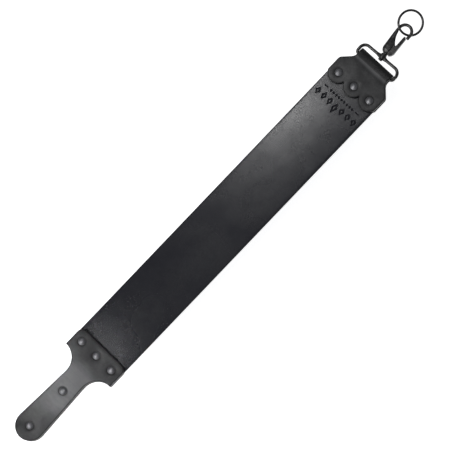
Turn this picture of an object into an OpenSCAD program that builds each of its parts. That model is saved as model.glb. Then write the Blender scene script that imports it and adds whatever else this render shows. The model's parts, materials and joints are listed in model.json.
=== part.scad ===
// Hanging strop: a wide leather strip with a riveted leather handle at one end
// and a folded, scalloped leather hanger at the other. The fold holds the eye of
// a swivel snap hook, and the hook holds a loose ring.
// It lies flat: X across, Y along it towards the ring, Z up, front face up.

/* [Strip] */
// Width of the strip
strip_w = 76.2; // [75:0.1:77]
// Thickness of the strip
strip_t = 4; // [3.8:0.1:4.4]
// Distance from the handle's tip to the strip's square lower end
strip_start = 119.3; // [119.3:0.1:122]
// Distance from the handle's tip to the strip's narrowed upper end
strip_end = 611.5; // [607:0.5:612]

/* [Handle] */
// Thickness of the handle and hanger leather
plate_t = 3.7; // [3.2:0.1:4.2]
// Width of the handle's head
head_w = 76.2; // [75:0.1:77]
// Distance from the handle's tip to the far edge of its head
head_end = 148; // [146:0.5:152]
// Radius of the head's two corners
head_corner_r = 8; // [3:0.5:10]
// Radius of the grip's rounded end
grip_r = 18.7; // [17:0.1:20]
// Width of the grip at its neck
neck_w = 29.8; // [27:0.2:32]
// Distance from the handle's tip to the neck
neck_y = 96.5; // [91:0.5:96.5]
// Radius of the hollow shoulders between the neck and the head
shoulder_r = 22.8; // [21.5:0.1:24]

/* [Hanger] */
// Width of the hanger between its straight sides
hanger_w = 77.2; // [77:0.2:78]
// Width of the leather where it is folded round the bar
fold_w = 50.8; // [44:0.2:51]
// Distance from the handle's tip to the middle of the fold's bend
fold_y = 620.5; // [619.5:0.5:621]
// Radius of the scallops
scallop_r = 13.7; // [13.4:0.1:14]
// Distance between the centres of the scallops
scallop_pitch = 25.8; // [25.6:0.1:26]
// Distance from the handle's tip to the centres of the scallops
scallop_y = 584; // [581:0.5:586]
// Radius of the hollow beside the fold
waist_r = 10; // [8:0.5:11]
// Radius of the corner above the outer scallops
hip_r = 6; // [4:0.5:8]

/* [Rivets] */
// Radius of the domed caps
cap_r = 4.6; // [4:0.1:5]
// Height of the domed caps
cap_h = 2; // [1.5:0.1:2.5]
// Height of the flat caps on the back
back_h = 1.8; // [1.8:0.1:2.2]
// Radius of the punched holes
hole_r = 2; // [1.95:0.05:2.2]
// Distance between the rivets in the handle's head
head_pitch = 25.4; // [23:0.1:26]
// Distance from the handle's tip to the rivet in the grip's rounded end
tip_rivet_y = 18.4; // [16:0.1:20]
// Distance from the handle's tip to the rivet below the neck
neck_rivet_y = 76.1; // [71:0.1:81]
// Distance from the handle's tip to the rivets in the head
head_rivet_y = 134.6; // [131:0.1:137]

/* [Snap hook] */
// Radius of the eye's wire
wire_r = 1.85; // [1.6:0.05:1.85]
// Width of the eye, between the centrelines of its sides
eye_w = 57.4; // [57.2:0.1:59]
// Length of the eye, between the centrelines of its two bars
eye_l = 14.9; // [14.5:0.1:15.5]
// How far the eye hangs askew in the fold, in degrees
askew = 2.2; // [0:0.1:3]
// How far the eye has slid sideways in the fold
eye_slide = -0.3; // [-0.6:0.1:0]
// Outer radius of the hook's bend
hook_r = 10.25; // [10.1:0.05:10.4]
// Radius of the hook's round stock
stock_r = 2; // [1.85:0.05:2]

/* [Ring] */
// Radius of the ring, from its centre to the middle of its wire
ring_r = 15.3; // [15.2:0.1:15.8]
// Radius of the ring's wire
ring_wire_r = 1.5; // [1.3:0.1:1.5]

/* [Hidden] */
$fn = 96;
corner_steps = 10;
leather_color = [0.09, 0.09, 0.095];
strip_color = [0.05, 0.05, 0.055];
rivet_color = [0.2, 0.2, 0.21];
iron_color = [0.13, 0.13, 0.12];

// Heights: everything is stacked on the flat caps of the rivets.
strip_z = back_h + plate_t;
front_z = strip_z + strip_t;
top_z = front_z + plate_t;
mid_z = strip_z + strip_t / 2;

// Distances in the hanger
waist_drop = 4.5;
waist_y = fold_y - waist_drop;
waist_tangent = waist_r * tan(22.5);
hip_y = waist_y - waist_tangent - (hanger_w - fold_w) / 2 - hip_r * tan(22.5);

// Rivets: two in the grip, three in the head, three in the scallops
head_rivets = [for (i = [-1:1]) [i * head_pitch, head_rivet_y]];
hanger_rivets = [for (i = [-1:1]) [i * scallop_pitch, scallop_y]];
rivet_at = concat([[0, tip_rivet_y], [0, neck_rivet_y]], head_rivets, hanger_rivets);
rivet_gap = 0.05;
tube_r = hole_r - 0.1;
tube_wall = 0.55;
post_r = tube_r - tube_wall - rivet_gap;

// The snap's own frame starts at the middle of the eye's lower bar, which is also
// the eye's hinge. Its Y runs along the swivel's axis.
bar_y = fold_y - 2;
boss_r = 4;
boss_bevel = 0.5;
boss_start = eye_l - 2.5;
boss_end = eye_l + 4.3;
swivel_r = 2;
swivel_gap = 0.05;
side_gap = 0.3;

// Hook: a bulb, an arm with a curved throat, and round stock from limb_y on. The
// throat's arc runs over throat_l in height and throat_w in width.
bulb_r = 8.3;
bulb_y = boss_end + side_gap + bulb_r;
bulb_t = 6.6;
hook_y = bulb_y + 28.7;
bend_r = hook_r - stock_r;
limb_y = hook_y - 6;
throat_l = 23;
throat_w = 11.7;
throat_r = (pow(throat_w, 2) + pow(throat_l, 2)) / (2 * throat_w);

// Gate: a folded channel that straddles the bulb's web and turns on a pin
web_t = 3.4;
web_edge = 5.6;
web_gap = 0.2;
web_rim = 1.1;
gate_wall = 1;
gate_t = web_t + 2 * (web_gap + gate_wall);
gate_top_t = 4;
gate_heel = -58;
gate_top = limb_y - 0.6;
nose_l = 4;
nose_x = 3.9;
pin_r = 0.75;
pin_at = [4, bulb_y + 0.2];

// Ring: it crosses over one limb of the hook and under the other, and its low
// side rests level with the rivets.
ring_y = hook_y + 12.4;
ring_off = -1.8;
ring_tilt = asin((mid_z - ring_wire_r) / (ring_r + ring_off));

// Overall length, which puts the origin under the middle of the strop
ring_reach = ring_r * sqrt(pow(cos(askew), 2) + pow(sin(askew) * cos(ring_tilt), 2));
ring_top = ring_y * cos(askew) + ring_off * cos(ring_tilt) * sin(askew) + ring_reach;
overall_l = bar_y + ring_top + ring_wire_r;

FIRST_NODES = ["strop_strip", "hanger_leather", "handle_front", "handle_back", "handle_core"];
SNAP_NODES = ["snap_loop", "snap_body", "snap_gate", "gate_pin", "gate_spring", "hang_ring"];
CAP_NODES = [for (i = [1:len(rivet_at)]) str("rivet_cap_", i)];
BACK_NODES = [for (i = [1:len(rivet_at)]) str("rivet_back_", i)];

// Points along an arc about c, from angle a to angle b
function arc(c, r, a, b) =
    [for (i = [0:corner_steps]) let (t = a + (b - a) * i / corner_steps) c + r * [cos(t), sin(t)]];

// The same points on the other side of the centreline, in reverse order
function mirrored(points) = [for (i = [len(points) - 1:-1:0]) [-points[i].x, points[i].y]];

// Moves a shape measured from the handle's tip into the strop's frame
module from_tip() {
    translate([0, -overall_l / 2, 0]) children();
}

// Moves a shape from the snap's own frame into the strop's frame
module in_snap() {
    from_tip() translate([eye_slide, bar_y, mid_z]) rotate([0, 0, askew]) children();
}

// Turns a shape modelled about Z so that it lies about Y, starting at y
module along_y(y) {
    translate([0, y, 0]) rotate([-90, 0, 0]) children();
}

module rivet_holes() {
    for (p = rivet_at) translate(p) circle(r = hole_r);
}

// A flat piece of leather cut to the outline given as a child, with its holes
module leather(z, t) {
    translate([0, 0, z]) linear_extrude(t) difference() {
        children();
        rivet_holes();
    }
}

// The right-hand half of the grip and shoulders, from the tip to the head
function grip_side() =
    let (v = [neck_w / 2, neck_y - grip_r])
    let (taper = asin(grip_r / norm(v)) - atan2(v.x, v.y))
    concat(
        arc([0, grip_r], grip_r, -90, taper),
        arc([neck_w / 2 + shoulder_r, neck_y], shoulder_r, 180, 90)
    );

module grip_outline() {
    polygon(concat(grip_side(), mirrored(grip_side())));
}

module handle_outline() {
    shoulder_y = neck_y + shoulder_r;
    corner = arc([head_w / 2 - head_corner_r, head_end - head_corner_r], head_corner_r, 0, 90);
    side = concat([[head_w / 2, shoulder_y]], corner);
    grip_outline();
    polygon(concat(side, mirrored(side)));
}

module hanger_outline() {
    waist = arc([fold_w / 2 + waist_r, waist_y], waist_r, 225, 180);
    hip = arc([hanger_w / 2 - hip_r, hip_y], hip_r, 0, 45);
    side = concat([[hanger_w / 2, scallop_y]], hip, waist, [[fold_w / 2, fold_y]]);
    polygon(concat(side, mirrored(side)));
    intersection() {
        for (i = [-1:1]) translate([i * scallop_pitch, scallop_y]) circle(r = scallop_r);
        translate([-hanger_w / 2, scallop_y - scallop_r]) square([hanger_w, 2 * scallop_r]);
    }
}

// The upper end narrows at 45 degrees to a tail that hides inside the hanger
module strop_strip() {
    tail_w = fold_w - 4;
    tail_start = hip_y - 1;
    side = [
        [strip_w / 2, strip_start],
        [strip_w / 2, tail_start],
        [tail_w / 2, tail_start + (strip_w - tail_w) / 2],
        [tail_w / 2, strip_end]
    ];
    color(strip_color) from_tip() leather(strip_z, strip_t) polygon(concat(side, mirrored(side)));
}

// One piece of leather: a front and a back leaf joined by the fold
module hanger_leather() {
    color(leather_color) from_tip() {
        leather(back_h, plate_t) hanger_outline();
        leather(front_z, plate_t) hanger_outline();
        translate([-fold_w / 2, fold_y, mid_z]) rotate([90, 0, 90]) rotate([0, 0, -90])
            rotate_extrude(angle = 180) translate([strip_t / 2, 0]) square([plate_t, fold_w]);
    }
}

module handle_front() {
    color(leather_color) from_tip() leather(front_z, plate_t) handle_outline();
}

module handle_back() {
    color(leather_color) from_tip() leather(back_h, plate_t) handle_outline();
}

// Fills the grip between its two leaves and butts against the strip's end
module handle_core() {
    color(leather_color) from_tip() leather(strip_z, strip_t) grip_outline();
}

// Domed cap on a hollow post
module rivet_cap(p) {
    dome_r = (pow(cap_r, 2) + pow(cap_h, 2)) / (2 * cap_h);
    tube_end = back_h + 0.6;
    color(rivet_color) from_tip() translate([p.x, p.y, 0]) rotate_extrude() {
        intersection() {
            translate([0, top_z + cap_h - dome_r]) circle(r = dome_r);
            translate([0, top_z]) square([cap_r, cap_h]);
        }
        translate([tube_r - tube_wall, tube_end]) square([tube_wall, top_z - tube_end]);
    }
}

// Flat cap with a bevelled rim, on a solid post that fills the hollow one
module rivet_back(p) {
    bevel = 0.7;
    rim_r = cap_r - 0.1;
    post_end = top_z - 1;
    color(rivet_color) from_tip() translate([p.x, p.y, 0]) {
        cylinder(r1 = rim_r - bevel, r2 = rim_r, h = bevel);
        translate([0, 0, bevel]) cylinder(r = rim_r, h = back_h - bevel);
        cylinder(r = post_r, h = post_end);
    }
}

// A quarter turn of wire that joins a bar to a side of the eye
module eye_corner(x, y, r, a) {
    translate([x, y, 0]) rotate([0, 0, a]) rotate_extrude(angle = 90) translate([r, 0]) circle(r = wire_r);
}

// Straight wire along X, from x0 to x1
module eye_bar(x0, x1, y) {
    translate([x0, y, 0]) rotate([0, 90, 0]) cylinder(r = wire_r, h = x1 - x0);
}

// Boss with bevelled ends and a bore for the shank
module eye_boss() {
    l = boss_end - boss_start;
    bore = swivel_r + swivel_gap;
    edge = boss_r - boss_bevel;
    along_y(boss_start) rotate_extrude() polygon([
        [bore, 0], [edge, 0], [boss_r, boss_bevel], [boss_r, l - boss_bevel], [edge, l], [bore, l]
    ]);
}

// Strap eye: a wire frame whose upper bar carries the swivel's boss
module snap_loop() {
    low_r = 3.4;
    high_r = 8;
    low_x = eye_w / 2 - low_r;
    high_x = eye_w / 2 - high_r;
    in_boss = (swivel_r + boss_r) / 2;
    color(iron_color) in_snap() {
        eye_bar(-low_x, low_x, 0);
        eye_bar(-high_x, -in_boss, eye_l);
        eye_bar(in_boss, high_x, eye_l);
        for (s = [-1, 1]) translate([s * eye_w / 2, 0, 0]) along_y(low_r)
            cylinder(r = wire_r, h = eye_l - low_r - high_r);
        eye_corner(low_x, low_r, low_r, -90);
        eye_corner(-low_x, low_r, low_r, 180);
        eye_corner(high_x, eye_l - high_r, high_r, 0);
        eye_corner(-high_x, eye_l - high_r, high_r, 90);
        eye_boss();
    }
}

// The bulb and the arm above it, seen from the front
module bulb_outline() {
    difference() {
        union() {
            translate([0, bulb_y]) circle(r = bulb_r);
            polygon([[-bulb_r, bulb_y], [web_edge, bulb_y], [web_edge, limb_y], [-hook_r, limb_y]]);
        }
        translate([throat_r - bend_r + stock_r, hook_y]) circle(r = throat_r);
        translate([web_edge, bulb_y - bulb_r]) square([bulb_r, 2 * bulb_r]);
    }
}

// The same seen from the side: thick at the bulb, thin where it meets the stock
module bulb_side() {
    side = [
        [bulb_y - bulb_r, 2.6], [bulb_y - 3, bulb_t / 2], [bulb_y + 3, bulb_t / 2],
        [bulb_y + 12, web_t / 2], [limb_y + 1, web_t / 2]
    ];
    polygon(concat(side, [for (i = [len(side) - 1:-1:0]) [side[i].x, -side[i].y]]));
}

// Round stock from the arm over the bend to the hook's tip
module hook_stock() {
    for (s = [-1, 1]) translate([s * bend_r, 0, 0]) along_y(limb_y)
        cylinder(r = stock_r, h = hook_y - limb_y);
    translate([0, hook_y, 0]) rotate_extrude(angle = 180) translate([bend_r, 0]) circle(r = stock_r);
}

// Cuts both faces back to the web where the gate's walls swing, and the web's rim
// back from the gate's back
module gate_room() {
    low = [1.9, bulb_y - bulb_r - 1];
    high = [0.3, bulb_y + 12];
    bend_y = bulb_y + 8.7;
    translate([0, 0, -bulb_t]) linear_extrude(2 * bulb_t) difference() {
        translate(low) square(bulb_r);
        translate([0, bulb_y]) circle(r = bulb_r - web_rim);
    }
    for (z = [web_t / 2, -web_t / 2 - bulb_t]) translate([0, 0, z]) linear_extrude(bulb_t)
        polygon([low, [high.x, bend_y], high, [hook_r, high.y], [hook_r, low.y]]);
}

// Cast hook with a shank that turns in the boss and is peened over inside the eye
module snap_body() {
    peen_r = 2.9;
    peen_h = 2.2;
    peen_rim = 1.2;
    peen_end = boss_start - side_gap;
    neck_start = boss_end + side_gap;
    neck_h = 2;
    neck_end = neck_start + neck_h;
    color(iron_color) in_snap() difference() {
        union() {
            difference() {
                intersection() {
                    translate([0, 0, -bulb_t]) linear_extrude(2 * bulb_t) bulb_outline();
                    translate([-2 * hook_r, 0, 0]) rotate([90, 0, 90]) linear_extrude(4 * hook_r)
                        bulb_side();
                }
                gate_room();
            }
            hook_stock();
            along_y(neck_start) cylinder(r1 = 3, r2 = 3.4, h = neck_h);
            along_y(peen_end - peen_rim) cylinder(r = swivel_r, h = neck_end - peen_end);
            along_y(peen_end - peen_rim) cylinder(r = peen_r, h = peen_rim);
            along_y(peen_end - peen_h) cylinder(r1 = 1.9, r2 = peen_r, h = peen_h - peen_rim);
        }
        translate([pin_at.x, pin_at.y, -bulb_t]) cylinder(r = pin_r + swivel_gap, h = 2 * bulb_t);
    }
}

// The gate seen from the front; inset narrows it on its outer side
module gate_outline(inset) {
    back_r = bulb_r + side_gap - inset;
    back = arc([0, bulb_y], back_r, gate_heel, 12);
    back_top = [7.5 - inset, gate_top];
    heel = [0, bulb_y] + (bulb_r - 0.8) * [cos(gate_heel), sin(gate_heel)];
    front = [[nose_x, gate_top], [nose_x, bulb_y + 9], [2, pin_at.y + 2.5], [2, pin_at.y - 1.5], heel];
    polygon(concat(back, [back_top], front));
}

module gate_side(inset) {
    low_t = gate_t / 2 - inset;
    high_t = gate_top_t / 2 - inset;
    polygon([
        [0, low_t], [bulb_y + 6, low_t], [hook_y, high_t],
        [hook_y, -high_t], [bulb_y + 6, -low_t], [0, -low_t]
    ]);
}

module gate_solid(inset) {
    intersection() {
        translate([0, 0, -gate_t]) linear_extrude(2 * gate_t) gate_outline(inset);
        rotate([90, 0, 90]) linear_extrude(2 * hook_r) gate_side(inset);
    }
}

// Sheet gate: a channel with a solid nose that closes behind the hook's tip
module snap_gate() {
    nose_y = gate_top - nose_l;
    nose_end = limb_y + 0.9;
    nose_w = bend_r - stock_r - side_gap - nose_x;
    color(iron_color) in_snap() difference() {
        union() {
            difference() {
                gate_solid(0);
                translate([-0.01, 0, 0]) gate_solid(gate_wall);
            }
            intersection() {
                gate_solid(0);
                translate([0, nose_y, -gate_t]) cube([hook_r, nose_l, 2 * gate_t]);
            }
            translate([nose_x, nose_y, -web_t / 2]) cube([nose_w, nose_end - nose_y, web_t]);
        }
        translate([pin_at.x, pin_at.y, -gate_t]) cylinder(r = pin_r, h = 2 * gate_t);
    }
}

// Pin riveted into the gate's two walls; it turns in the hook's web
module gate_pin() {
    head_r = 1.2;
    head_h = 0.4;
    color(rivet_color) in_snap() translate([pin_at.x, pin_at.y, -gate_t / 2]) {
        cylinder(r = pin_r, h = gate_t);
        for (z = [-head_h, gate_t]) translate([0, 0, z]) cylinder(r = head_r, h = head_h);
    }
}

// Leaf spring between the web's edge and the back of the gate
module gate_spring() {
    leaf = [0.35, 0];
    leaf_w = 2;
    foot = [web_edge + 0.05, pin_at.y - 3];
    bend = [foot.x, pin_at.y + 2.5];
    end = [6.2, bulb_y + 13];
    color("silver") in_snap() translate([0, 0, -leaf_w / 2]) linear_extrude(leaf_w)
        polygon([foot, bend, end, end + leaf, bend + leaf, foot + leaf]);
}

// Plain round ring, loose in the hook
module hang_ring() {
    color(iron_color) in_snap() translate([0, ring_y, 0]) rotate([0, ring_tilt, 0])
        translate([ring_off, 0, 0]) rotate_extrude() translate([ring_r, 0]) circle(r = ring_wire_r);
}

strop_strip();
hanger_leather();
handle_front();
handle_back();
handle_core();
for (i = [1:len(rivet_at)]) {
    rivet_cap(rivet_at[i - 1]);
    rivet_back(rivet_at[i - 1]);
}
snap_loop();
snap_body();
snap_gate();
gate_pin();
gate_spring();
hang_ring();
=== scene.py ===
import json
import math
import bmesh
import bpy
import numpy as np
from mathutils import Matrix, Vector, noise
from mathutils.geometry import delaunay_2d_cdt


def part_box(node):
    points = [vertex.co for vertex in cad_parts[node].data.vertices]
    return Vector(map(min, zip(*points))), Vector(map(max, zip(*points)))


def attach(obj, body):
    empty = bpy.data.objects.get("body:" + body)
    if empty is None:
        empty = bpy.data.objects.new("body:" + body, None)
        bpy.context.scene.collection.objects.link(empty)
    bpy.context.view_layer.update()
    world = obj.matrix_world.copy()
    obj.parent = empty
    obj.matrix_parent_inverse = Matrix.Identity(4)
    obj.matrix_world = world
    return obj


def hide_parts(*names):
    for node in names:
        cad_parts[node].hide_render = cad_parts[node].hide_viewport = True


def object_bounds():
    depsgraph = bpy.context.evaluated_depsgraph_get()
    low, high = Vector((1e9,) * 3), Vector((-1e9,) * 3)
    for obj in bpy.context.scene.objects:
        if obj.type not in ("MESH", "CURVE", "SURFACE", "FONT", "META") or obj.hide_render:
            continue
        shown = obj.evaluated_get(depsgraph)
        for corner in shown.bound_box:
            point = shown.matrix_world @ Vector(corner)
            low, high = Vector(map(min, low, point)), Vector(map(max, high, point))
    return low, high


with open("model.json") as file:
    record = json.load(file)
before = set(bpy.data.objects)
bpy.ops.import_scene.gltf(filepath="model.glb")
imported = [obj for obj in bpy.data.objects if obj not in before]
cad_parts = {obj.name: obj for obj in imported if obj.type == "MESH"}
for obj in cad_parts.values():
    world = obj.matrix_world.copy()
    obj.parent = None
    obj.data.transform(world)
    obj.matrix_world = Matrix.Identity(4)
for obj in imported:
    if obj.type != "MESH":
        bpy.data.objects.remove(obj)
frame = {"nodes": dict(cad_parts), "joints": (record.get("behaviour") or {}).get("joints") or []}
cad_low, cad_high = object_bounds()

# ---------------------------------------------------------------------------
# Camera and stage. Lengths here are in metres.
# ---------------------------------------------------------------------------

CAMERA_DISTANCE = 3.0
CAMERA_FIELD = 0.5434  # what the picture spans at the aim
CAMERA_TILT = math.radians(12)
CAMERA_PITCH = math.radians(0.2)
CAMERA_ROLL = math.radians(43.7)
CAMERA_AIM = Vector((0.00194, 0.00367, 0.0075))
CAMERA_REACH = 50
SENSOR_MM = 36

SKY_COLOUR, SKY_STRENGTH = (0.94, 0.96, 1.0, 1), 0.2
PAPER_COLOUR, PAPER_ROUGHNESS, PAPER_GLOW = (0.9, 0.9, 0.9, 1), 0.9, 0.78
FLOOR_HALF = 12.0
# The white sweep lies low enough for the hook to swing down below the strop without meeting it.
FLOOR_DROP = 0.1


def add_camera():
    """Nearly overhead, leaning towards +X, with the strop turned to run up the picture's diagonal."""
    lean, nod = math.sin(CAMERA_TILT), -math.sin(CAMERA_PITCH)
    back = Vector((lean, nod, math.sqrt(1 - lean**2 - nod**2)))
    along = Vector((0, 1, 0))
    along = (along - along.dot(back) * back).normalized()
    across = along.cross(back)
    right = math.sin(CAMERA_ROLL) * along + math.cos(CAMERA_ROLL) * across
    up = math.cos(CAMERA_ROLL) * along - math.sin(CAMERA_ROLL) * across
    data = bpy.data.cameras.new("camera")
    data.sensor_width = SENSOR_MM
    data.lens = SENSOR_MM * CAMERA_DISTANCE / CAMERA_FIELD
    data.clip_end = CAMERA_REACH
    camera = bpy.data.objects.new("camera", data)
    bpy.context.scene.collection.objects.link(camera)
    turn = Matrix((right, up, back)).transposed().to_4x4()
    camera.matrix_world = Matrix.Translation(CAMERA_AIM + back * CAMERA_DISTANCE) @ turn
    bpy.context.scene.camera = camera


def add_softbox(name, place, target, width, depth, power, spread=180):
    """A rectangular lamp of that power in watts; spread is its light's whole angle in degrees."""
    data = bpy.data.lights.new(name, "AREA")
    data.shape = "RECTANGLE"
    data.size = width
    data.size_y = depth
    data.energy = power
    data.spread = math.radians(spread)
    light = bpy.data.objects.new(name, data)
    bpy.context.scene.collection.objects.link(light)
    light.location = place
    light.rotation_mode = "QUATERNION"
    light.rotation_quaternion = (Vector(target) - Vector(place)).to_track_quat("-Z", "Y")


def add_studio():
    """A white sweep lit softly from the handle's side, and two small softboxes that
    the leather's sheen picks up."""
    bpy.context.scene.view_settings.view_transform = "Standard"
    world = bpy.data.worlds.new("studio")
    world.use_nodes = True
    sky = world.node_tree.nodes["Background"]
    sky.inputs["Color"].default_value = SKY_COLOUR
    sky.inputs["Strength"].default_value = SKY_STRENGTH
    bpy.context.scene.world = world

    add_softbox("softbox_wide", (-0.2, -1.4, 1.7), (0, 0, 0), width=1.6, depth=1.2, power=30)
    add_softbox("softbox_upper", (-0.3, 0.22, 0.9), (-0.03, 0.17, 0), width=0.1, depth=0.1, power=0.92)
    add_softbox(
        "softbox_lower", (-0.18, -0.4, 0.9), (0, -0.273, 0), width=0.1, depth=0.06, power=0.0112, spread=15
    )

    paper = bpy.data.materials.new("paper")
    paper.use_nodes = True
    shader = paper.node_tree.nodes["Principled BSDF"]
    shader.inputs["Base Color"].default_value = PAPER_COLOUR
    shader.inputs["Roughness"].default_value = PAPER_ROUGHNESS
    shader.inputs["Emission Color"].default_value = (1, 1, 1, 1)
    shader.inputs["Emission Strength"].default_value = PAPER_GLOW
    z = cad_low.z - FLOOR_DROP
    corners = [(FLOOR_HALF * x, FLOOR_HALF * y, z) for x, y in ((-1, -1), (1, -1), (1, 1), (-1, 1))]
    mesh = bpy.data.meshes.new("floor")
    mesh.from_pydata(corners, [], [(0, 1, 2, 3)])
    mesh.materials.append(paper)
    floor = bpy.data.objects.new("floor", mesh)
    bpy.context.scene.collection.objects.link(floor)


add_camera()
add_studio()

# ---------------------------------------------------------------------------
# Dimensions of the design, in millimetres. Distances along the strop are
# measured from the handle's tip, as the strop's maker would.
# ---------------------------------------------------------------------------

MM = 0.001
TIP_Y = cad_low.y / MM

STRIP_W, STRIP_T = 76.2, 4.0
STRIP_START, STRIP_END = 119.3, 611.5
PLATE_T = 3.7
HEAD_W, HEAD_END, HEAD_CORNER_R = 76.2, 148.0, 8.0
GRIP_R, NECK_W, NECK_Y, SHOULDER_R = 18.7, 29.8, 96.5, 22.8
HANGER_W, FOLD_W, FOLD_Y = 77.2, 50.8, 620.5
SCALLOP_R, SCALLOP_PITCH, SCALLOP_Y = 13.7, 25.8, 584.0
WAIST_R, WAIST_DROP, HIP_R = 10.0, 4.5, 6.0
CAP_R, CAP_H, BACK_H, HOLE_R = 4.6, 2.0, 1.8, 2.0

STRIP_Z = BACK_H + PLATE_T
FRONT_Z = STRIP_Z + STRIP_T
TOP_Z = FRONT_Z + PLATE_T
MID_Z = STRIP_Z + STRIP_T / 2
WAIST_Y = FOLD_Y - WAIST_DROP
EIGHTH = math.tan(math.radians(22.5))
HIP_Y = WAIST_Y - WAIST_R * EIGHTH - (HANGER_W - FOLD_W) / 2 - HIP_R * EIGHTH

# The rivets stand where the CAD caps stand, so their places come from the frame.
RIVETS = []
for number in range(1, 9):
    cap_low, cap_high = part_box(f"rivet_cap_{number}")
    RIVETS.append(((cap_low.x + cap_high.x) / 2 / MM, (cap_low.y + cap_high.y) / 2 / MM - TIP_Y))

# The snap's own frame: its X is the eye's hinge and its Y the swivel's axis.
JOINTS = {joint["name"]: joint for joint in frame["joints"]}
SNAP_AT = Vector(JOINTS["eye_swing"]["pos_m"]) / MM
SNAP_X = Vector(JOINTS["eye_swing"]["axis"]).normalized()
SNAP_Y = Vector(JOINTS["swivel"]["axis"]).normalized()
SNAP_Z = SNAP_X.cross(SNAP_Y)

WIRE_R, EYE_W, EYE_L = 1.85, 57.4, 14.9
EYE_LOW_R, EYE_HIGH_R = 3.4, 8.0
BOSS_R, BOSS_START, BOSS_END = 4.0, EYE_L - 2.5, EYE_L + 4.3
SWIVEL_R, SWIVEL_GAP, SIDE_GAP = 2.0, 0.05, 0.3
BULB_R, BULB_T = 8.3, 6.6
BULB_Y = BOSS_END + SIDE_GAP + BULB_R
HOOK_Y = BULB_Y + 28.7
HOOK_R, STOCK_R = 10.25, 2.0
BEND_R = HOOK_R - STOCK_R
LIMB_Y = HOOK_Y - 6
THROAT_L, THROAT_W = 23.0, 11.7
THROAT_R = (THROAT_W**2 + THROAT_L**2) / (2 * THROAT_W)
WEB_T, WEB_EDGE = 3.4, 5.6
PIN_R, PIN_AT = 0.75, (4.0, BULB_Y + 0.2)


def row(points):
    """Points measured from the handle's tip, moved into the strop's frame."""
    return [(x, y + TIP_Y, z) for x, y, z in points]


def in_snap(points):
    """Points in the snap's own frame, moved into the strop's frame."""
    return [tuple(SNAP_AT + SNAP_X * x + SNAP_Y * y + SNAP_Z * z) for x, y, z in points]


# ---------------------------------------------------------------------------
# Mesh helpers. They all work in millimetres, and link_mesh turns them to metres.
# ---------------------------------------------------------------------------


def link_mesh(name, points, faces, attributes=None):
    """A smooth-shaded piece; attributes are named lists with a number for each point."""
    mesh = bpy.data.meshes.new(name)
    mesh.from_pydata([tuple(c * MM for c in p) for p in points], [], faces)
    mesh.validate()
    for key, values in (attributes or {}).items():
        layer = mesh.attributes.new(key, "FLOAT", "POINT")
        layer.data.foreach_set("value", np.asarray(values, np.float32))
    work = bmesh.new()
    work.from_mesh(mesh)
    bmesh.ops.recalc_face_normals(work, faces=work.faces)
    work.to_mesh(mesh)
    work.free()
    mesh.polygons.foreach_set("use_smooth", [True] * len(mesh.polygons))
    piece = bpy.data.objects.new(name, mesh)
    bpy.context.scene.collection.objects.link(piece)
    return piece


def finished(piece, body, nodes, material):
    """Gives the piece its material and slot, its body, and the CAD nodes that it stands for."""
    piece.data.materials.clear()
    piece.data.materials.append(material)
    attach(piece, body)
    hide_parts(*nodes)


def bake_modifiers(piece):
    """Replaces the piece's mesh with the one its modifiers make."""
    graph = bpy.context.evaluated_depsgraph_get()
    made = bpy.data.meshes.new_from_object(piece.evaluated_get(graph))
    piece.modifiers.clear()
    piece.data = made
    made.polygons.foreach_set("use_smooth", [True] * len(made.polygons))


def combine(piece, other, operation):
    """Joins other to the piece, or cuts it away, and removes other."""
    boolean = piece.modifiers.new(operation, "BOOLEAN")
    boolean.operation = operation
    boolean.solver = "EXACT"
    boolean.object = other
    bake_modifiers(piece)
    bpy.data.objects.remove(other)


def soften(piece, voxel, passes):
    """Turns the piece into one even skin with cast, slightly rounded edges."""
    remesh = piece.modifiers.new("remesh", "REMESH")
    remesh.mode = "VOXEL"
    remesh.voxel_size = voxel * MM
    smooth = piece.modifiers.new("smooth", "SMOOTH")
    smooth.factor = 0.5
    smooth.iterations = passes
    bake_modifiers(piece)


def loft(name, rings, place, closed=False):
    """A skin over rings that have equally many points; its two ends are capped
    unless it closes on itself."""
    count = len(rings[0])
    faces = []
    for i in range(len(rings) if closed else len(rings) - 1):
        j = (i + 1) % len(rings)
        for k in range(count):
            m = (k + 1) % count
            faces.append((i * count + k, i * count + m, j * count + m, j * count + k))
    if not closed:
        faces.append(tuple(range(count)))
        faces.append(tuple((len(rings) - 1) * count + k for k in range(count)))
    return link_mesh(name, place([p for ring in rings for p in ring]), faces)


def lathe(name, profile, place, axis="z", steps=48):
    """Turns a closed profile of (radius, height) points about an axis; points on the axis are shared."""
    points, index = [], []
    for radius, height in profile:
        made = []
        for k in range(steps if radius > 1e-6 else 1):
            a = 2 * math.pi * k / steps
            across, up = radius * math.cos(a), radius * math.sin(a)
            made.append(len(points))
            points.append((across, up, height) if axis == "z" else (across, height, -up))
        index.append(made)
    faces = []
    for low, high in zip(index, index[1:] + index[:1]):
        for k in range(steps):
            m = (k + 1) % steps
            corners = [low[k % len(low)], low[m % len(low)], high[m % len(high)], high[k % len(high)]]
            corners = list(dict.fromkeys(corners))
            if len(corners) > 2:
                faces.append(corners)
    return link_mesh(name, place(points), faces)


def prism(name, outline, low, high, place):
    """The outline's area, from the height low to the height high."""
    count = len(outline)
    points = [(x, y, z) for z in (low, high) for x, y in outline]
    faces = [tuple(range(count)), tuple(range(count, 2 * count))]
    faces += [(k, (k + 1) % count, count + (k + 1) % count, count + k) for k in range(count)]
    return link_mesh(name, place(points), faces)


def arc(centre, radius, start, end, steps=12):
    """Points along a circle, from one angle to another in degrees."""
    angles = np.radians(np.linspace(start, end, steps + 1))
    return [(centre[0] + radius * math.cos(a), centre[1] + radius * math.sin(a)) for a in angles]


def circle(centre, radius, steps=24):
    return arc(centre, radius, 0, 360 - 360 / steps, steps - 1)


def mirrored(points):
    return [(-x, y) for x, y in reversed(points)]


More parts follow.
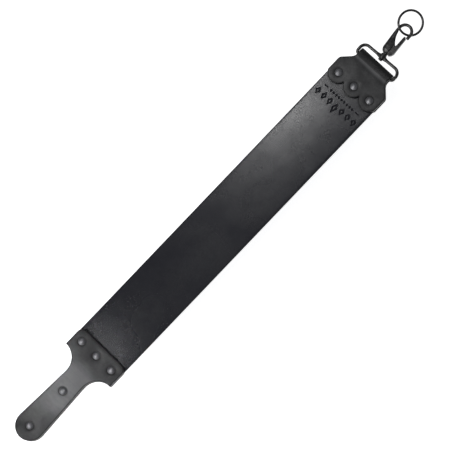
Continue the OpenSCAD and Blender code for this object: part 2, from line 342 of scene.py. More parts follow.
def resampled(outline, step):
    """The closed outline with extra points, so that no side is longer than step."""
    made = []
    for a, b in zip(outline, outline[1:] + outline[:1]):
        pieces = max(1, math.ceil(math.dist(a, b) / step))
        for k in range(pieces):
            t = k / pieces
            made.append((a[0] + (b[0] - a[0]) * t, a[1] + (b[1] - a[1]) * t))
    return made


def distance_to(points, loops):
    """How far each point lies from the nearest side of the closed loops."""
    best = np.full(len(points), 1e9)
    for loop in loops:
        a = np.array(loop)
        side = np.roll(a, -1, axis=0) - a
        length = np.maximum((side**2).sum(1), 1e-12)
        for start in range(0, len(points), 2000):
            chunk = points[start : start + 2000]
            t = ((chunk[:, None] - a[None]) * side[None]).sum(2) / length
            nearest = a[None] + np.clip(t, 0, 1)[:, :, None] * side[None]
            found = np.linalg.norm(chunk[:, None] - nearest, axis=2).min(1)
            best[start : start + 2000] = np.minimum(best[start : start + 2000], found)
    return best


def nearest_of(points, places):
    """How far each point lies from the nearest of the places."""
    near = np.full(len(points), 1e3)
    for place in places:
        near = np.minimum(near, np.linalg.norm(points - np.array(place), axis=1))
    return near


def inside(points, loop):
    """Which points lie in the closed loop."""
    a = np.array(loop)
    b = np.roll(a, -1, axis=0)
    x, y = points[:, :1], points[:, 1:]
    crosses = (a[:, 1] > y) != (b[:, 1] > y)
    rise = np.where(np.abs(b[:, 1] - a[:, 1]) < 1e-12, 1e-12, b[:, 1] - a[:, 1])
    at = a[:, 0] + (y - a[:, 1]) / rise * (b[:, 0] - a[:, 0])
    return (crosses & (x < at)).sum(1) % 2 == 1


def inset(loop, amount):
    """Points amount inside a counter-clockwise loop, one for each of its own."""
    a = np.array(loop)
    ahead = np.roll(a, -1, axis=0) - a
    ahead /= np.linalg.norm(ahead, axis=1)[:, None]
    behind = np.roll(ahead, 1, axis=0)
    normal = np.stack([-(ahead + behind)[:, 1], (ahead + behind)[:, 0]], axis=1)
    normal /= np.linalg.norm(normal, axis=1)[:, None]
    square = np.stack([-ahead[:, 1], ahead[:, 0]], axis=1)
    stretch = np.clip((normal * square).sum(1), 0.5, 1)
    return a + normal * (amount / stretch)[:, None]


def smoothstep(t):
    t = np.clip(t, 0, 1)
    return t * t * (3 - 2 * t)


def ramp(value, start, length):
    """Climbs smoothly from 0 at start to 1 when length further on."""
    return smoothstep((value - start) / length)


def hump(value, centre, spread):
    """1 at the centre, falling away smoothly to both sides."""
    return np.exp(-(((value - centre) / spread) ** 2))


# ---------------------------------------------------------------------------
# Leather. A slab is a cut sheet with burnished edges and punched holes. Its
# outer face dips under the rivets' caps, and swells a little.
# ---------------------------------------------------------------------------

EDGE_R = 0.9
EDGE_SHARES = (0.12, 0.32, 0.62, 1.0)
EDGE_MARGIN, GRID_MARGIN = 0.4, 0.55
DIP, DIP_SPREAD = 0.35, 3.6
DIP_RINGS = (3.2, CAP_R, CAP_R + DIP_SPREAD * 0.33, CAP_R + DIP_SPREAD * 0.66, CAP_R + DIP_SPREAD)
MARK_SLOPE, MARK_RIM, MARK_MARGIN = 0.8, 0.3, 0.5
SWELL_WAVES, SWELL_MARGIN = (0.06, 0.035), 6


def hex_grid(low, high, step):
    """An even grid of points, in rows that are shifted by turns."""
    rows = np.arange(low[1], high[1], step * math.sqrt(3) / 2)
    columns = np.arange(low[0], high[0], step)
    return np.array([(x + step / 2 * (k % 2), y) for k, y in enumerate(rows) for x in columns])


def mark_rings(marks):
    """Each mark's loops, each with a ring at the foot of its slope and one just beyond its brim."""
    rings = []
    for shape, depth in marks:
        for loop, side in zip(shape, [1] + [-1] * (len(shape) - 1)):
            rings.append(loop)
            rings.append([tuple(p) for p in inset(loop, side * depth * MARK_SLOPE)])
            rings.append([tuple(p) for p in inset(loop, -side * MARK_RIM)])
    return rings


def loose_points(outline, holes, mark_loops, grid, fine):
    """Rings of points along the edge and round the holes, and an even grid between them."""
    loose = []
    for share in EDGE_SHARES:
        ring = inset(outline, EDGE_R * share)
        keep = distance_to(ring, [outline]) > EDGE_R * share * 0.97
        loose.append(ring[keep])
    for p in holes:
        for radius in DIP_RINGS:
            ring = np.array(circle(p, radius, 28))
            keep = inside(ring, outline) & (distance_to(ring, [outline]) > EDGE_R + EDGE_MARGIN)
            loose.append(ring[keep])
    low, high = np.array(outline).min(0), np.array(outline).max(0)
    even = hex_grid(low, high, grid)
    if fine:
        start, end, fine_grid = fine
        even = even[(even[:, 1] < start) | (even[:, 1] > end)]
        close = hex_grid((low[0], start + grid / 2), (high[0], end - grid / 2), fine_grid)
        even = np.concatenate([even, close])
    keep = inside(even, outline) & (distance_to(even, [outline]) > EDGE_R + grid * GRID_MARGIN)
    keep &= nearest_of(even, holes) > CAP_R + DIP_SPREAD + grid * 0.3
    if mark_loops:
        keep &= distance_to(even, mark_loops) > MARK_MARGIN
    return np.concatenate(loose + [even[keep]])


def triangulated(loops, mark_loops, loose):
    """The sheet's flat points and triangles, and the points along each of its loops, of
    which the first bounds the sheet and the others are holes."""
    fixed = [p for loop in loops + mark_loops for p in loop]
    edges, first = [], 0
    for loop in loops + mark_loops:
        edges += [(first + k, first + (k + 1) % len(loop)) for k in range(len(loop))]
        first += len(loop)
    flat = [Vector(p) for p in fixed] + [Vector(p) for p in loose]
    made, _, triangles, origin, _, _ = delaunay_2d_cdt(flat, edges, [], 0, 1e-6)
    points = np.array(made)[:, :2]
    home = {source: k for k, sources in enumerate(origin) for source in sources}
    triangles = np.array([t for t in triangles if len(t) == 3])
    rims, first = [], 0
    for loop in loops:
        rims.append([home[first + k] for k in range(len(loop))])
        first += len(loop)
    # Slivers along the rims are judged against the triangulation's own rounded points.
    middle = points[triangles].mean(1)
    keep = inside(middle, points[rims[0]])
    for rim in rims[1:]:
        keep &= ~inside(middle, points[rim])
    return points, triangles[keep], rims


def slab(
    name, outline, holes, thickness, place,
    grid=3.0, step=1.6, marks=(), extra=None, swell=0.1, tone=None, fine=None,
):
    """marks are shapes pressed depth deep into the outer face, as ([outer loop, inner loop...], depth).
    extra(points) adds to the outer face's height, which also swells and sinks by up to swell.
    tone(points) is above 0 where the colour is painted paler, as wear and as painted highlight, and below 0
    where it is painted darker and dull, as painted shade.
    fine is a stretch with a closer grid, as (from, to, grid)."""
    outline = resampled(outline, step)
    loops = [outline] + [circle(p, HOLE_R, 20) for p in holes]
    mark_loops = mark_rings(marks)
    loose = loose_points(outline, holes, mark_loops, grid, fine)
    points, triangles, rims = triangulated(loops, mark_loops, loose)

    from_edge = distance_to(points, [outline])
    from_rivet = nearest_of(points, holes)
    inward = np.clip(EDGE_R - from_edge, 0, EDGE_R)
    rounded = EDGE_R - np.sqrt(np.maximum(EDGE_R**2 - inward**2, 0))
    outer = thickness - rounded - DIP * (1 - ramp(from_rivet, CAP_R, DIP_SPREAD))
    if swell:
        u, v = SWELL_WAVES
        wave = np.array([noise.noise(Vector((x * u, y * v, thickness))) for x, y in points])
        outer += swell * wave * smoothstep(from_edge / SWELL_MARGIN)
    if extra:
        outer += extra(points)
    pressed = np.zeros(len(points))
    for shape, depth in marks:
        within = inside(points, shape[0])
        for loop in shape[1:]:
            within &= ~inside(points, loop)
        into = np.where(within, distance_to(points, shape), 0)
        sunk = smoothstep(into / (depth * MARK_SLOPE))
        pressed = np.maximum(pressed, sunk)
        outer -= depth * sunk

    count = len(points)
    solid = [(x, y, h) for heights in (outer, rounded) for (x, y), h in zip(points, heights)]
    faces = [tuple(t) for t in triangles] + [tuple(count + k for k in reversed(t)) for t in triangles]
    for rim in rims:
        faces += [(a, b, count + b, count + a) for a, b in zip(rim, rim[1:] + rim[:1])]
    attributes = {
        "from_edge": np.tile(from_edge, 2),
        "from_rivet": np.tile(from_rivet, 2),
        "pressed": np.concatenate([pressed, np.zeros(count)]),
        "tone": np.tile(tone(points) if tone else np.zeros(count), 2),
    }
    return link_mesh(name, place(solid), faces, attributes)


# ---------------------------------------------------------------------------
# Flat outlines of the leathers, and where each sheet lies in the strop
# ---------------------------------------------------------------------------

FOLD_BULGE = 0.45
FOLD_INNER_R = STRIP_T / 2
FOLD_NEUTRAL_R = FOLD_INNER_R + PLATE_T / 2
FOLD_LENGTH = math.pi * FOLD_NEUTRAL_R
LAID_OUT = 2 * FOLD_Y + FOLD_LENGTH  # a back leaf's place laid out flat is this less its folded place
CREASE_Y, CREASE_SPREAD, CREASE_DEPTH = 613.2, 3.4, 0.45
TAIL_HALF = FOLD_W / 2 - 2


def grip_side():
    """From the handle's tip, round its end and up the grip, to the head's corner."""
    corner = (NECK_W / 2, NECK_Y - GRIP_R)
    lean = math.degrees(math.asin(GRIP_R / math.hypot(*corner)) - math.atan2(*corner))
    hollow = arc((NECK_W / 2 + SHOULDER_R, NECK_Y), SHOULDER_R, 180, 90, 16)
    return arc((0, GRIP_R), GRIP_R, -90, lean, 20) + hollow


def grip_outline():
    side = grip_side()
    return side + mirrored(side)[:-1]


def handle_outline():
    corner = arc((HEAD_W / 2 - HEAD_CORNER_R, HEAD_END - HEAD_CORNER_R), HEAD_CORNER_R, 0, 90)
    side = grip_side() + [(HEAD_W / 2, NECK_Y + SHOULDER_R)] + corner
    return side + mirrored(side)[:-1]


def hanger_side():
    """From the middle scallop's lowest point, round the right-hand side, to the fold."""
    cusp = math.degrees(math.acos(SCALLOP_PITCH / 2 / SCALLOP_R))
    middle = arc((0, SCALLOP_Y), SCALLOP_R, -90, -cusp)
    trimmed = -math.degrees(math.acos((HANGER_W / 2 - SCALLOP_PITCH) / SCALLOP_R))
    outer = arc((SCALLOP_PITCH, SCALLOP_Y), SCALLOP_R, cusp - 180, trimmed, 24)[1:]
    hip = arc((HANGER_W / 2 - HIP_R, HIP_Y), HIP_R, 0, 45, 6)
    waist = arc((FOLD_W / 2 + WAIST_R, WAIST_Y), WAIST_R, 225, 180, 8)
    waist += [(FOLD_W / 2 + FOLD_BULGE * 0.6, FOLD_Y - 2), (FOLD_W / 2 + FOLD_BULGE, FOLD_Y + 1)]
    return middle + outer + hip + waist


def hanger_outline():
    """The hanger's leather laid out flat: the front leaf, the bend and the back leaf."""
    side = hanger_side()
    right = side + [(x, LAID_OUT - y) for x, y in reversed(side)]
    return right + mirrored(right)[1:-1]


def strip_outline():
    """Square at the handle's end, and narrowed to a tail inside the hanger."""
    start = HIP_Y - 1
    half = STRIP_W / 2
    side = [(half, STRIP_START), (half, start), (TAIL_HALF, start + half - TAIL_HALF), (TAIL_HALF, STRIP_END)]
    return side + mirrored(side)


# A slab's points are (x, y, height), with its outer face away from the strop's middle.


def place_front(points):
    return row([(x, y, FRONT_Z + h) for x, y, h in points])


def place_back(points):
    return row([(x, y, STRIP_Z - h) for x, y, h in points])


def place_strip(points):
    return row([(x, y, STRIP_Z + h) for x, y, h in points])


def place_hanger(points):
    """Bends the flat leather round the eye's lower bar."""
    made = []
    for x, y, h in points:
        along = y - FOLD_Y
        if along <= 0:
            made.append((x, y, FRONT_Z + h))
        elif along >= FOLD_LENGTH:
            made.append((x, FOLD_Y - (along - FOLD_LENGTH), STRIP_Z - h))
        else:
            turn = along / FOLD_NEUTRAL_R
            radius = FOLD_INNER_R + h
            made.append((x, FOLD_Y + radius * math.sin(turn), MID_Z + radius * math.cos(turn)))
    return row(made)


# ---------------------------------------------------------------------------
# Tooling, surface heights and tones of the leathers
# ---------------------------------------------------------------------------

# Lozenges are given by half their width and half their height.
STAMP_Y, STAMP_PITCH, STAMP_DEPTH = 551.8, 9.9, 0.5
STAMP_OUTER, STAMP_INNER = (3.7, 5.8), (1.15, 1.8)
TALL_STAMP, TALL_DROP = 1.5, 5.2
BEAD_Y, BEAD_PITCH, BEAD = 562.4, 4.4, (1.75, 2.7)
DASH_START, DASH_END, DASH_HALF = 22.4, 28.4, 0.85
FINE_STRETCH = (STAMP_Y - 12, BEAD_Y + 6, 1.5)
CROWN = 0.55


def lozenge(x, y, half_w, half_h):
    return [(x, y - half_h), (x + half_w, y), (x, y + half_h), (x - half_w, y)]


def bar(x0, x1, y, half_h):
    return [(x0, y - half_h), (x1, y - half_h), (x1, y + half_h), (x0, y + half_h)]


def stamp_marks():
    """A plain tooled border: a row of lozenge frames below a row of beads with a dash at each end."""
    shapes = []
    for k in range(-3, 4):
        tall = TALL_STAMP if k == 0 else 1.0
        at = (k * STAMP_PITCH, STAMP_Y - TALL_DROP * (tall - 1))
        shapes.append([lozenge(*at, half_w, half_h * tall) for half_w, half_h in (STAMP_OUTER, STAMP_INNER)])
    shapes += [[lozenge(k * BEAD_PITCH, BEAD_Y, *BEAD)] for k in range(-4, 5)]
    shapes.append([bar(DASH_START, DASH_END, BEAD_Y, DASH_HALF)])
    shapes.append([bar(-DASH_END, -DASH_START, BEAD_Y, DASH_HALF)])
    return [(shape, STAMP_DEPTH) for shape in shapes]


def rivet_dips(points):
    """The shape of slab's dips, to undo them where another piece covers the leather and not a cap."""
    return 1 - ramp(nearest_of(points, RIVETS), CAP_R, DIP_SPREAD)


def crease(points):
    """The front leaf is pressed down to the strip just below the fold."""
    return -CREASE_DEPTH * hump(points[:, 1], CREASE_Y, CREASE_SPREAD)


def strip_top(points):
    """The strip is crowned across its width where nothing holds it flat, and isn't dipped
    under the trim."""
    x, y = points[:, 0], points[:, 1]
    across = 1 - (x / (STRIP_W / 2)) ** 2
    free = ramp(y, HEAD_END, 40) * smoothstep((SCALLOP_Y - SCALLOP_R - y) / 30)
    return CROWN * (across - 0.5) * free + DIP * rivet_dips(points)


def handle_tone(points):
    """The grip is painted pale below the neck, partly as rubbed wear and partly as a painted highlight
    standing in for its sheen, and is painted dark at its rounded end as painted shade.
    """
    y = points[:, 1]
    pale = ramp(y, 20, 58) * (1 - ramp(y, NECK_Y - 8, 48))
    return pale - 0.8 * (1 - ramp(y, 4, 28))


def hanger_tone(points):
    """Painted highlight where the leather creases below the fold, paler between the rivets, and painted shade
    over the fold.
    """
    x, y = points[:, 0], points[:, 1]
    pale = 0.6 * hump(y, CREASE_Y - 0.2, 3)
    pale += 0.3 * hump(np.abs(x), SCALLOP_PITCH / 2, 3.5) * hump(y, SCALLOP_Y + 5, 7)
    return pale - ramp(y, CREASE_Y + 1.4, 1.6) * (y < FOLD_Y + FOLD_LENGTH + 4)


def strip_tone(points):
    """Painted shadow: dark where the strip comes out from under the head and the scallops."""
    scallops = [circle((k * SCALLOP_PITCH, SCALLOP_Y), SCALLOP_R, 60) for k in (-1, 0, 1)]
    near = distance_to(points, [handle_outline(), *scallops])
    return smoothstep(near / 2.4) - 1


# ---------------------------------------------------------------------------
# Materials
# ---------------------------------------------------------------------------

MIX_A, MIX_B, MIX_RESULT = 6, 7, 2  # the Mix node's colour sockets, which share their names with others


class Shader:
    """A Principled material and short ways to add nodes to it."""

    def __init__(self, name):
        self.material = bpy.data.materials.new(name)
        self.material.use_nodes = True
        self.tree = self.material.node_tree
        self.main = self.tree.nodes["Principled BSDF"]
        self.place = self.node("ShaderNodeTexCoord").outputs["Object"]

    def node(self, kind, **settings):
        made = self.tree.nodes.new(kind)
        for key, value in settings.items():
            setattr(made, key, value)
        return made

    def link(self, source, node, socket):
        self.tree.links.new(source, node.inputs[socket])

    def noise(self, scale, detail=4, roughness=0.5, stretch=(1, 1, 1)):
        mapping = self.node("ShaderNodeMapping")
        mapping.inputs["Scale"].default_value = stretch
        self.link(self.place, mapping, "Vector")
        made = self.node("ShaderNodeTexNoise")
        made.inputs["Scale"].default_value = scale
        made.inputs["Detail"].default_value = detail
        made.inputs["Roughness"].default_value = roughness
        self.link(mapping.outputs["Vector"], made, "Vector")
        return made.outputs["Fac"]

    def cells(self, scale):
        made = self.node("ShaderNodeTexVoronoi", feature="F1")
        made.inputs["Scale"].default_value = scale
        self.link(self.place, made, "Vector")
        return made.outputs["Distance"]

    def attribute(self, name):
        return self.node("ShaderNodeAttribute", attribute_name=name).outputs["Fac"]

    def spread(self, value, low, high, to_low=0.0, to_high=1.0):
        """Maps low to high smoothly on to to_low to to_high."""
        made = self.node("ShaderNodeMapRange", interpolation_type="SMOOTHSTEP")
        limits = {"From Min": low, "From Max": high, "To Min": to_low, "To Max": to_high}
        for key, limit in limits.items():
            made.inputs[key].default_value = limit
        self.link(value, made, "Value")
        return made.outputs["Result"]

    def mix(self, share, low, high):
        """Colours are given as tuples or as sockets."""
        made = self.node("ShaderNodeMix", data_type="RGBA")
        self.link(share, made, "Factor")
        for socket, value in ((MIX_A, low), (MIX_B, high)):
            if isinstance(value, tuple):
                made.inputs[socket].default_value = (*value, 1)
            else:
                self.link(value, made, socket)
        return made.outputs[MIX_RESULT]

    def sum(self, first, second, share):
        """first + second * share"""
        made = self.node("ShaderNodeMath", operation="MULTIPLY_ADD")
        self.link(second, made, 0)
        made.inputs[1].default_value = share
        self.link(first, made, 2)
        return made.outputs[0]

    def product(self, first, *others):
        for other in others:
            made = self.node("ShaderNodeMath", operation="MULTIPLY")
            self.link(first, made, 0)
            self.link(other, made, 1)
            first = made.outputs[0]
        return first

    def bump(self, height, strength, distance):
        made = self.node("ShaderNodeBump")
        made.inputs["Strength"].default_value = strength
        made.inputs["Distance"].default_value = distance
        self.link(height, made, "Height")
        self.link(made.outputs["Normal"], self.main, "Normal")


def leather(name, dark, light, edge, rough, edge_width, gloss, dull_grain, uneven):
    """Dyed leather: cloudy colour, pores and fine wrinkles, and a sheen that is lost at
    burnished edges, beside the rivets, in the tooling and where the tone is dark.
    dull_grain is how coarse the grain gets there, and uneven how patchy the gloss is."""
    shader = Shader(name)
    clouds = shader.noise(22, 5, 0.55)
    sheen = shader.noise(14, 1, 0.4)
    mottle = shader.noise(55, 5, 0.6)
    grain = shader.noise(420, 6, 0.65)
    pores = shader.cells(900)
    wrinkles = shader.noise(160, 3, 0.5, (1, 0.35, 1))
    bands = shader.noise(38, 4, 0.6, (0.45, 1.6, 1))
    tone, pressed = shader.attribute("tone"), shader.attribute("pressed")
    from_edge, from_rivet = shader.attribute("from_edge"), shader.attribute("from_rivet")

    # Partly wear and partly painted highlight: where the tone is above 0 the colour turns paler, as on the
    # grip below the neck and along the crease under the fold.
    pale_wear_and_highlight = shader.product(shader.spread(tone, 0.0, 1.0), shader.spread(bands, 0.3, 0.7, 0.55, 1.2))
    colour = shader.mix(shader.spread(clouds, 0.34, 0.66), dark, light)
    colour = shader.mix(shader.spread(grain, 0.62, 0.78, 0.0, 0.35), colour, tuple(1.6 * c for c in light))
    colour = shader.mix(pale_wear_and_highlight, colour, tuple(4.2 * c for c in light))
    # Painted shade: where the tone is below 0 the colour goes towards the dark edge colour, over the hanger's
    # fold, at the grip's end and beside the head and scallops.
    colour = shader.mix(shader.spread(tone, -1.0, 0.0, 0.5, 0.0), colour, edge)
    # Painted shade: a dark ring on the leather round each rivet's cap.
    colour = shader.mix(shader.spread(from_rivet, 4.6, 7.4, 0.8, 0.0), colour, edge)
    colour = shader.mix(shader.spread(from_edge, 0.2, edge_width, 0.8, 0.0), colour, edge)
    colour = shader.mix(shader.spread(pressed, 0.1, 0.8, 0.0, 0.5), colour, edge)
    shader.link(colour, shader.main, "Base Color")

    shine = shader.product(
        shader.spread(tone, -1.0, 0.0, 0.65 * gloss, gloss),
        shader.spread(from_rivet, 4.6, 7.0, 0.5, 1.0),
        shader.spread(from_edge, 0.4, edge_width, 0.55, 1.0),
        shader.spread(pressed, 0.0, 0.7, 1.0, 0.35),
        shader.spread(grain, 0.3, 0.7, 0.92, 1.08),
        shader.spread(mottle, 0.34, 0.66, 1 - uneven, 1 + uneven),
    )
    shader.link(shine, shader.main, "Specular IOR Level")
    roughness = shader.sum(shader.spread(sheen, 0.3, 0.7, *rough), pressed, 0.12)
    shader.link(roughness, shader.main, "Roughness")

    height = shader.sum(grain, pores, 0.5)
    height = shader.sum(height, wrinkles, 0.8)
    coarse = shader.product(shader.spread(tone, -1.0, -0.2, 1.0, 0.0), shader.noise(300, 5, 0.7))
    height = shader.sum(height, coarse, dull_grain)
    shader.bump(height, 0.25, 0.00012)
    return shader.material


def metal(name, dark, light, rough, metallic, scale):
    """Metal with a patchy dark finish and a faintly uneven surface."""
    shader = Shader(name)
    patches = shader.noise(scale, 5, 0.6)
    speckle = shader.noise(scale * 7, 4, 0.6)
    colour = shader.mix(shader.spread(patches, 0.35, 0.68), dark, light)
    shader.link(colour, shader.main, "Base Color")
    shader.link(shader.spread(speckle, 0.3, 0.7, *rough), shader.main, "Roughness")
    shader.main.inputs["Metallic"].default_value = metallic
    shader.bump(speckle, 0.25, 0.00005)
    return shader.material


# edge is the dark colour of burnished edges and tooling, and also the colour of the painted shade.
STRIP_LEATHER = leather(
    "strip_leather",
    dark=(0.009, 0.0092, 0.0142), light=(0.0128, 0.013, 0.017), edge=(0.005, 0.005, 0.006),
    rough=(0.255, 0.285), edge_width=1.4, gloss=0.5, dull_grain=0.0, uneven=0.1,
)
TRIM_LEATHER = leather(
    "trim_leather",
    dark=(0.012, 0.012, 0.0135), light=(0.028, 0.028, 0.029), edge=(0.006, 0.006, 0.0065),
    rough=(0.36, 0.44), edge_width=2.2, gloss=0.4, dull_grain=5.0, uneven=0.3,
)
RIVET_METAL = metal(
    "rivet_metal", dark=(0.19, 0.19, 0.2), light=(0.27, 0.27, 0.28),
    rough=(0.46, 0.54), metallic=1.0, scale=500,
)
BLACK_IRON = metal(
    "black_iron", dark=(0.035, 0.035, 0.036), light=(0.095, 0.094, 0.092),
    rough=(0.28, 0.42), metallic=0.85, scale=260,
)
SPRING_STEEL = metal(
    "spring_steel", dark=(0.35, 0.35, 0.36), light=(0.5, 0.5, 0.5),
    rough=(0.25, 0.4), metallic=1.0, scale=600,
)

# ---------------------------------------------------------------------------
# Leather pieces
# ---------------------------------------------------------------------------

GRIP_RIVETS, HANDLE_RIVETS = RIVETS[:2], RIVETS[:5]
STRIP_RIVETS, HANGER_RIVETS = RIVETS[2:], RIVETS[5:]


def add_leathers():
    strip = slab(
        "strop_strip_leather", strip_outline(), STRIP_RIVETS, STRIP_T, place_strip,
        grid=3.4, step=3.0, marks=stamp_marks(), extra=strip_top, swell=0.05, tone=strip_tone,
        fine=FINE_STRETCH,
    )
    finished(strip, "strop", ["strop_strip"], STRIP_LEATHER)
    for side, place in (("front", place_front), ("back", place_back)):
        leaf = slab(
            f"handle_{side}_leather", handle_outline(), HANDLE_RIVETS, PLATE_T, place, tone=handle_tone
        )
        finished(leaf, "strop", [f"handle_{side}"], TRIM_LEATHER)
    core = slab(
        "handle_core_leather", grip_outline(), GRIP_RIVETS, STRIP_T, place_strip,
        extra=lambda points: DIP * rivet_dips(points), swell=0,
    )
    finished(core, "strop", ["handle_core"], TRIM_LEATHER)
    far_rivets = [(x, LAID_OUT - y) for x, y in HANGER_RIVETS]
    hanger = slab(
        "hanger_leather_sheet", hanger_outline(), HANGER_RIVETS + far_rivets, PLATE_T, place_hanger,
        grid=2.2, step=1.3, extra=crease, tone=hanger_tone,
    )
    finished(hanger, "strop", ["hanger_leather"], TRIM_LEATHER)


add_leathers()

# ---------------------------------------------------------------------------
# Rivets
# ---------------------------------------------------------------------------

TUBE_R = HOLE_R - 0.1
TUBE_WALL = 0.55
TUBE_TOP, TUBE_END = TOP_Z - 0.3, BACK_H + 0.6
POST_R, POST_TOP = TUBE_R - TUBE_WALL - 0.05, TOP_Z - 1
RIM_R, RIM_SINK = 0.45, 0.05
BACK_R, BACK_RIM_R = CAP_R - 0.1, 0.8
SEAT_R = 0.4


def cap_profile():
    """Dome with a rolled rim that sinks into the leather, on a hollow post."""
    dome_r = (CAP_R**2 + CAP_H**2) / (2 * CAP_H)
    dome_z = TOP_Z + CAP_H - dome_r
    edge = math.degrees(math.acos((CAP_R - 0.25) / dome_r))
    dome = arc((0, dome_z), dome_r, 90, edge, 14)
    dome[0] = (0, TOP_Z + CAP_H)
    rim = arc((CAP_R - RIM_R, TOP_Z - RIM_SINK), RIM_R, 40, -90, 8)
    bore = TUBE_R - TUBE_WALL
    post = [(TUBE_R, TUBE_TOP), (TUBE_R, TUBE_END), (bore, TUBE_END), (bore, TUBE_TOP), (0, TUBE_TOP)]
    return dome + rim + post


def back_profile():
    """Flat cap with a rounded rim, on a solid post."""
    face = [(0, 0), (BACK_R - BACK_RIM_R, 0)]
    face += arc((BACK_R - BACK_RIM_R, BACK_RIM_R), BACK_RIM_R, -80, 0, 6)
    seat = arc((BACK_R - SEAT_R, BACK_H), SEAT_R, 0, 90, 4)
    return face + seat + [(POST_R, BACK_H + SEAT_R), (POST_R, POST_TOP), (0, POST_TOP)]


def add_rivets():
    for number, (x, y) in enumerate(RIVETS, 1):
        def place(points):
            return row([(px + x, py + y, pz) for px, py, pz in points])
        cap = lathe(f"rivet_dome_{number}", cap_profile(), place)
        finished(cap, "strop", [f"rivet_cap_{number}"], RIVET_METAL)
        back = lathe(f"rivet_flat_{number}", back_profile(), place)
        finished(back, "strop", [f"rivet_back_{number}"], RIVET_METAL)


add_rivets()

# ---------------------------------------------------------------------------
# Strap eye, snap hook and ring. Lengths here are in the snap's own frame.
# ---------------------------------------------------------------------------

SIDE_FULLNESS, BOSS_FLARE, FLARE_LENGTH = 0.15, 0.8, 5.5
BOSS_BEVEL = 0.8
# The bulb's cross-section by its height above the bulb's middle.
BULB_HEIGHTS = (-8.3, -5.5, -2.5, 3, 8, 12, LIMB_Y - BULB_Y)
BULB_HALF_T = (2.0, 2.9, 3.3, 3.3, 2.6, 2.0, STOCK_R)
POWER_HEIGHTS, POWERS = (-8.3, 0, 16), (2.6, 2.5, 2.1)
# The bulb is cut down to a web on its right, with a rim left round its foot.
STEP_FOOT_X, STEP_X, STEP_CORNER, STEP_END = 1.9, 0.3, 8.7, 12
RIM_WALL = 1.1
PEEN_L, PEEN_R = 2.2, 2.9
CAST_VOXEL, CAST_PASSES = 0.24, 4
GATE_VOXEL, GATE_PASSES = 0.2, 2


def tube_rings(path, radii, steps=20):
    """Round rings square to a path that lies in the snap's own XY plane."""
    path = np.array(path)
    ahead = np.gradient(path, axis=0)
    ahead /= np.linalg.norm(ahead, axis=1)[:, None]
    rings = []
    for (x, y), (dx, dy), r in zip(path, ahead, radii):
        ring = []
        for k in range(steps):
            a = 2 * math.pi * k / steps
            ring.append((x - dy * r * math.cos(a), y + dx * r * math.cos(a), r * math.sin(a)))
        rings.append(ring)
    return rings


def add_strap_eye():
    """A bent wire, a little fuller outside the leather, that thickens towards the swivel's boss."""
    low_x, high_x = EYE_W / 2 - EYE_LOW_R, EYE_W / 2 - EYE_HIGH_R
    in_boss = (SWIVEL_R + BOSS_R) / 2
    side = [(x, EYE_L) for x in np.linspace(in_boss, high_x, 22)[:-1]]
    side += arc((high_x, EYE_L - EYE_HIGH_R), EYE_HIGH_R, 90, 0, 14)
    side += arc((low_x, EYE_LOW_R), EYE_LOW_R, 0, -90, 12)
    path = side + mirrored(side)
    radii = []
    for x, y in path:
        radius = WIRE_R + SIDE_FULLNESS * float(smoothstep(y / EYE_LOW_R - 0.4))
        if y > EYE_L - 0.01:
            radius += BOSS_FLARE * float(1 - ramp(abs(x), in_boss, FLARE_LENGTH))
        radii.append(radius)
    eye = loft("strap_eye_wire", tube_rings(path, radii), in_snap)
    length = BOSS_END - BOSS_START
    bore = SWIVEL_R + SWIVEL_GAP
    profile = [(bore, 0)] + arc((BOSS_R - BOSS_BEVEL, BOSS_BEVEL), BOSS_BEVEL, -90, 0, 5)
    profile += arc((BOSS_R - BOSS_BEVEL, length - BOSS_BEVEL), BOSS_BEVEL, 0, 90, 5) + [(bore, length)]
    profile = [(r, BOSS_START + y) for r, y in profile]
    boss = lathe("boss", profile, in_snap, "y")
    combine(eye, boss, "UNION")
    finished(eye, "strap_eye", ["snap_loop"], BLACK_IRON)


def superellipse(centre, y, half_w, half_t, power, steps=40):
    """A level ring round (centre, y): an ellipse at power 2, and squarer above."""
    ring = []
    for k in range(steps):
        a = 2 * math.pi * k / steps
        c, s = math.cos(a), math.sin(a)
        x = half_w * math.copysign(abs(c) ** (2 / power), c)
        z = half_t * math.copysign(abs(s) ** (2 / power), s)
        ring.append((centre + x, y, z))
    return ring


def bulb_rings():
    """Level rings from the bulb's foot up the arm to the round stock."""
    rings = []
    heights = list(BULB_Y - BULB_R * np.cos(np.radians(np.linspace(14, 90, 16))))
    heights += list(np.linspace(BULB_Y, LIMB_Y, 34)[1:])
    for y in heights:
        up = y - BULB_Y
        if up < 0:
            left = -math.sqrt(BULB_R**2 - up**2)
        else:
            left = -BULB_R - (HOOK_R - BULB_R) * up / (LIMB_Y - BULB_Y)
        right = min(WEB_EDGE, math.sqrt(max(BULB_R**2 - up**2, 0)) if up < 0 else WEB_EDGE)
        reach = THROAT_R**2 - (y - HOOK_Y) ** 2
        if reach > 0 and up > 0:
            right = min(right, THROAT_R - BEND_R + STOCK_R - math.sqrt(reach))
        half_t = np.interp(up, BULB_HEIGHTS, BULB_HALF_T)
        power = np.interp(up, POWER_HEIGHTS, POWERS)
        rings.append(superellipse((left + right) / 2, y, (right - left) / 2, half_t, power))
    return rings


def stock_rings():
    """Round stock from the arm, over the bend, and down to the tip."""
    rings = [superellipse(-BEND_R, y, STOCK_R, STOCK_R, 2) for y in np.linspace(LIMB_Y, HOOK_Y, 5)[1:]]
    for a in np.radians(np.linspace(180, 0, 25))[1:]:
        ring = []
        for x, _, z in superellipse(0, 0, STOCK_R, STOCK_R, 2):
            radius = BEND_R - x
            ring.append((radius * math.cos(a), HOOK_Y + radius * math.sin(a), z))
        rings.append(ring)
    for y in np.linspace(HOOK_Y, LIMB_Y, 5)[1:]:
        rings.append([(BEND_R - x, y, z) for x, _, z in superellipse(0, 0, STOCK_R, STOCK_R, 2)])
    return rings


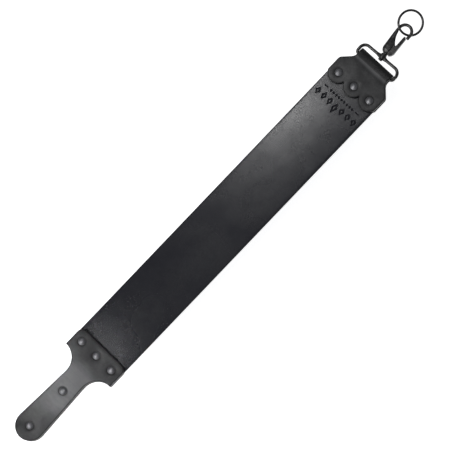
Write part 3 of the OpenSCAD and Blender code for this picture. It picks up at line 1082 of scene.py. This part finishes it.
def add_snap_body():
    """Arm, bulb and bend are lofted, stepped and joined to the shank, then softened as one casting."""
    body = loft("snap_hook_casting", bulb_rings() + stock_rings(), in_snap)
    foot = BULB_Y - BULB_R - 1
    step = [
        (STEP_FOOT_X, foot), (STEP_X, BULB_Y + STEP_CORNER), (STEP_X, BULB_Y + STEP_END),
        (HOOK_R, BULB_Y + STEP_END), (HOOK_R, foot),
    ]
    for low in (WEB_T / 2, -WEB_T / 2 - BULB_T):
        combine(body, prism("step", step, low, low + BULB_T, in_snap), "DIFFERENCE")
    rim = [(STEP_FOOT_X, foot), (HOOK_R, foot)] + arc((0, BULB_Y), BULB_R - RIM_WALL, -10, -74, 10)
    combine(body, prism("rim", rim, -BULB_T, BULB_T, in_snap), "DIFFERENCE")
    peen_end = BOSS_START - SIDE_GAP
    neck_start = BOSS_END + SIDE_GAP
    shank = [
        (0, peen_end - PEEN_L), (1.7, peen_end - PEEN_L), (2.5, peen_end - 1.7), (PEEN_R, peen_end - 1.0),
        (PEEN_R, peen_end), (SWIVEL_R, peen_end), (SWIVEL_R, neck_start), (3.0, neck_start),
        (3.4, neck_start + 2), (2.0, neck_start + 4), (0, neck_start + 4),
    ]
    combine(body, lathe("shank", shank, in_snap, "y"), "UNION")
    soften(body, CAST_VOXEL, CAST_PASSES)
    hole = circle(PIN_AT, PIN_R + 2 * SWIVEL_GAP, 24)
    combine(body, prism("hole", hole, -BULB_T, BULB_T, in_snap), "DIFFERENCE")
    finished(body, "snap", ["snap_body"], BLACK_IRON)


def add_gate():
    """The CAD gate with softened edges."""
    gate = bpy.data.objects.new("gate_channel", frame["nodes"]["snap_gate"].data.copy())
    bpy.context.scene.collection.objects.link(gate)
    soften(gate, GATE_VOXEL, GATE_PASSES)
    finished(gate, "gate", ["snap_gate"], BLACK_IRON)


def add_ring():
    """The ring's plane and radii are those of the CAD ring."""
    points = np.array([v.co for v in frame["nodes"]["hang_ring"].data.vertices]) / MM
    low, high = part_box("hang_ring")
    middle = np.array((low + high) / 2) / MM
    away = points - middle
    normal = np.linalg.svd(away, full_matrices=False)[2][2]
    wire_r = np.abs(away @ normal).max()
    ring_r = np.linalg.norm(away, axis=1).max() - wire_r
    right = np.cross(normal, (0, 1, 0))
    right /= np.linalg.norm(right)
    up = np.cross(normal, right)
    rings = []
    for a in np.linspace(0, 2 * math.pi, 120, endpoint=False):
        out = math.cos(a) * right + math.sin(a) * up
        rings.append([
            tuple(middle + out * (ring_r + wire_r * math.cos(b)) + normal * wire_r * math.sin(b))
            for b in np.linspace(0, 2 * math.pi, 20, endpoint=False)
        ])
    ring = loft("hanging_ring", rings, list, closed=True)
    finished(ring, "ring", ["hang_ring"], BLACK_IRON)


add_strap_eye()
add_snap_body()
add_gate()
add_ring()

# The pin and the spring are shown as the CAD parts themselves.
for node_name, material in (("gate_pin", BLACK_IRON), ("gate_spring", SPRING_STEEL)):
    node = frame["nodes"][node_name]
    node.data.materials.clear()
    node.data.materials.append(material)
